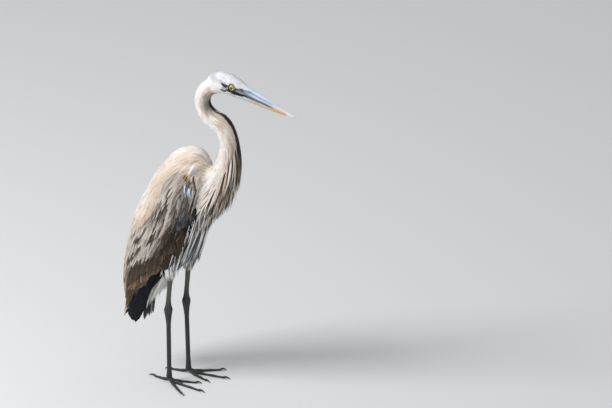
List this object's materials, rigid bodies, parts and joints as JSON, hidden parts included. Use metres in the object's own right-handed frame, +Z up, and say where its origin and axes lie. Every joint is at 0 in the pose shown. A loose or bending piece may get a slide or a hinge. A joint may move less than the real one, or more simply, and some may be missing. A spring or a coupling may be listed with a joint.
{
  "type": "standing heron",
  "caption": "Tall wading bird standing upright on two long legs, neck drawn into an S, dagger bill level ahead, grey wings folded; a still life-size figure.",
  "frame": {"origin": "on the floor, under the centre of the bounding box; the feet stand 86 mm behind it", "axes": "-Y the way the bird looks, +X its left side, +Z up"},
  "size_m": [0.1784, 0.4598, 0.8088],
  "materials": {
    "pale_plumage": "soft, matt",
    "grey_plumage": "soft, matt",
    "dark_plumage": "smooth, faint sheen",
    "leg_skin": "scaly, half matt",
    "claw": "horn, polished by use",
    "upper_bill": "horn, satin",
    "lower_bill": "horn, satin",
    "eye": "wet, clear"
  },
  "bodies": {
    "root": {"head": "pale_plumage", "eye_left": "eye", "eye_right": "eye", "bill_upper": "upper_bill", "bill_lower": "lower_bill", "neck_upper": "pale_plumage", "neck_middle": "pale_plumage", "neck_lower": "pale_plumage", "neck_base": "pale_plumage", "foreneck_plumes": "grey_plumage", "trunk": "grey_plumage", "tail": "grey_plumage", "wing_left_coverts": "grey_plumage", "wing_left_tertials": "grey_plumage", "wing_left_primaries": "dark_plumage", "thigh_left": "pale_plumage", "shank_left": "leg_skin", "tarsus_left": "leg_skin", "toe_left_inner": "leg_skin", "claw_left_inner": "claw", "toe_left_middle": "leg_skin", "claw_left_middle": "claw", "toe_left_outer": "leg_skin", "claw_left_outer": "claw", "toe_left_hind": "leg_skin", "claw_left_hind": "claw", "wing_right_coverts": "grey_plumage", "wing_right_tertials": "grey_plumage", "wing_right_primaries": "dark_plumage", "thigh_right": "pale_plumage", "shank_right": "leg_skin", "tarsus_right": "leg_skin", "toe_right_inner": "leg_skin", "claw_right_inner": "claw", "toe_right_middle": "leg_skin", "claw_right_middle": "claw", "toe_right_outer": "leg_skin", "claw_right_outer": "claw", "toe_right_hind": "leg_skin", "claw_right_hind": "claw"}
  },
  "joints": []
}
